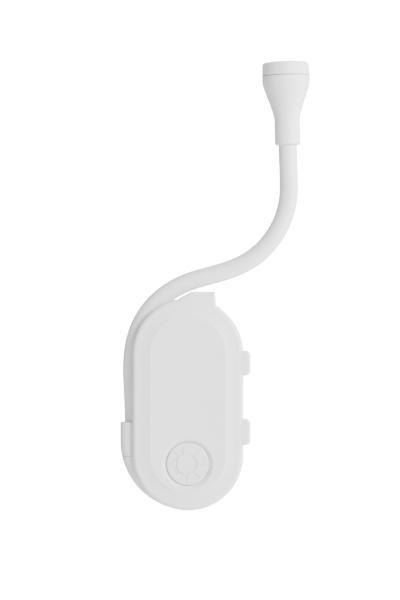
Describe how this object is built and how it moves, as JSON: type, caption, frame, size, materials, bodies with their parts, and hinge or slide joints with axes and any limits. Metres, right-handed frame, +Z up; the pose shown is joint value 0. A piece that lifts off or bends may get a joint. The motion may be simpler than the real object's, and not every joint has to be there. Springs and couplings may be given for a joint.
{
  "type": "clip-on reading lamp",
  "caption": "Pocket reading lamp: a flat spool-shaped body with a push button, a spring clip behind it, and a bendable neck that carries a small torch-like head.",
  "frame": {"origin": "middle of the face of the rubber pad on the body, which the clip presses against", "axes": "+X to the reader's right, +Y from the front cover towards the clip, +Z up"},
  "size_m": [0.0685, 0.0343, 0.1617],
  "materials": {
    "white_shell": "fine satin",
    "white_button": "satin",
    "sleeve_white": "satin",
    "pad_rubber": "matt",
    "spine_steel": "brushed",
    "screw_steel": "bright zinc",
    "spring_steel": "drawn wire",
    "cell_steel": "stamped",
    "contact_metal": "plated",
    "switch_steel": "stamped",
    "board_green": "solder mask",
    "black_plastic": "matt",
    "red_wire": "smooth",
    "black_wire": "smooth",
    "lens_clear": "polished",
    "reflector_mirror": "vacuum metallised",
    "led_resin": "clear resin over yellow phosphor",
    "led_board_white": "white solder mask"
  },
  "bodies": {
    "body": {"front_cover": "white_shell", "rear_shell": "white_shell", "neck_socket": "white_shell", "neck_ferrule": "contact_metal", "neck_sleeve_00": "sleeve_white", "neck_spine_00": "spine_steel", "tactile_switch": "switch_steel", "circuit_board": "board_green", "chip_resistors": "black_plastic", "driver_chip": "black_plastic", "coin_cell_back": "cell_steel", "coin_cell_front": "cell_steel", "cell_contact_negative": "contact_metal", "cell_contact_positive": "contact_metal", "battery_door": "white_shell", "door_screw": "screw_steel", "housing_screws": "screw_steel", "lead_wire_red": "red_wire", "lead_wire_black": "black_wire", "clip_pin": "screw_steel", "body_pad": "pad_rubber"},
    "button": {"power_button": "white_button", "switch_plunger": "black_plastic"},
    "clip": {"clip_jaw": "white_shell", "jaw_pad": "pad_rubber", "clip_spring": "spring_steel"},
    "neck_01": {"neck_sleeve_01": "sleeve_white", "neck_spine_01": "spine_steel"},
    "neck_02": {"neck_sleeve_02": "sleeve_white", "neck_spine_02": "spine_steel"},
    "neck_03": {"neck_sleeve_03": "sleeve_white", "neck_spine_03": "spine_steel"},
    "neck_04": {"neck_sleeve_04": "sleeve_white", "neck_spine_04": "spine_steel"},
    "neck_05": {"neck_sleeve_05": "sleeve_white", "neck_spine_05": "spine_steel"},
    "neck_06": {"neck_sleeve_06": "sleeve_white", "neck_spine_06": "spine_steel"},
    "neck_07": {"neck_sleeve_07": "sleeve_white", "neck_spine_07": "spine_steel"},
    "neck_08": {"neck_sleeve_08": "sleeve_white", "neck_spine_08": "spine_steel"},
    "neck_09": {"neck_sleeve_09": "sleeve_white", "neck_spine_09": "spine_steel"},
    "head": {"neck_sleeve_10": "sleeve_white", "neck_spine_10": "spine_steel", "head_ferrule": "contact_metal", "head_shell": "white_shell", "lens_bezel": "white_shell", "lens": "lens_clear", "reflector": "reflector_mirror", "led": "led_resin", "led_board": "led_board_white", "head_wire_red": "red_wire", "head_wire_black": "black_wire"}
  },
  "joints": [
    {"name": "neck_bend_01", "type": "hinge", "parent": "body", "child": "neck_01", "pos_m": [-0.01982, -0.0105, 0.0274], "axis": [0, -1, 0], "range_deg": [0, 20]},
    {"name": "neck_bend_02", "type": "hinge", "parent": "neck_01", "child": "neck_02", "pos_m": [-0.02019, -0.0105, 0.03989], "axis": [0, -1, 0], "range_deg": [0, 25]},
    {"name": "neck_bend_03", "type": "hinge", "parent": "neck_02", "child": "neck_03", "pos_m": [-0.0178, -0.0105, 0.05207], "axis": [0, -1, 0], "range_deg": [0, 25]},
    {"name": "neck_bend_04", "type": "hinge", "parent": "neck_03", "child": "neck_04", "pos_m": [-0.01076, -0.0105, 0.06229], "axis": [0, -1, 0], "range_deg": [-10, 25]},
    {"name": "neck_bend_05", "type": "hinge", "parent": "neck_04", "child": "neck_05", "pos_m": [-0.00022, -0.0105, 0.06885], "axis": [0.3439, 0, -0.939], "range_deg": [-25, 25]},
    {"name": "neck_bend_06", "type": "hinge", "parent": "neck_05", "child": "neck_06", "pos_m": [0.01177, -0.0105, 0.0724], "axis": [0, -1, 0], "range_deg": [-25, 25]},
    {"name": "neck_bend_07", "type": "hinge", "parent": "neck_06", "child": "neck_07", "pos_m": [0.02312, -0.0105, 0.07745], "axis": [0.5749, 0, -0.8182], "range_deg": [-25, 25]},
    {"name": "neck_bend_08", "type": "hinge", "parent": "neck_07", "child": "neck_08", "pos_m": [0.03167, -0.0105, 0.08646], "axis": [0, 1, 0], "range_deg": [-25, 25]},
    {"name": "neck_bend_09", "type": "hinge", "parent": "neck_08", "child": "neck_09", "pos_m": [0.03604, -0.0105, 0.09808], "axis": [-0.9871, 0, 0.1602], "range_deg": [-25, 25]},
    {"name": "neck_bend_10", "type": "hinge", "parent": "neck_09", "child": "head", "pos_m": [0.03626, -0.0105, 0.11056], "axis": [0, -1, 0], "range_deg": [-25, 25]},
    {"name": "clip_hinge", "type": "hinge", "parent": "body", "child": "clip", "pos_m": [0, 0.0054, 0.035], "axis": [1, 0, 0], "range_deg": [0, 22], "stiffness_Nm_per_rad": 0.3, "springref_deg": -51.57},
    {"name": "button_press", "type": "slide", "parent": "body", "child": "button", "axis": [0, 1, 0], "range_m": [0, 0.0006], "stiffness_N_per_m": 800, "springref_m": -0.0006}
  ]
}
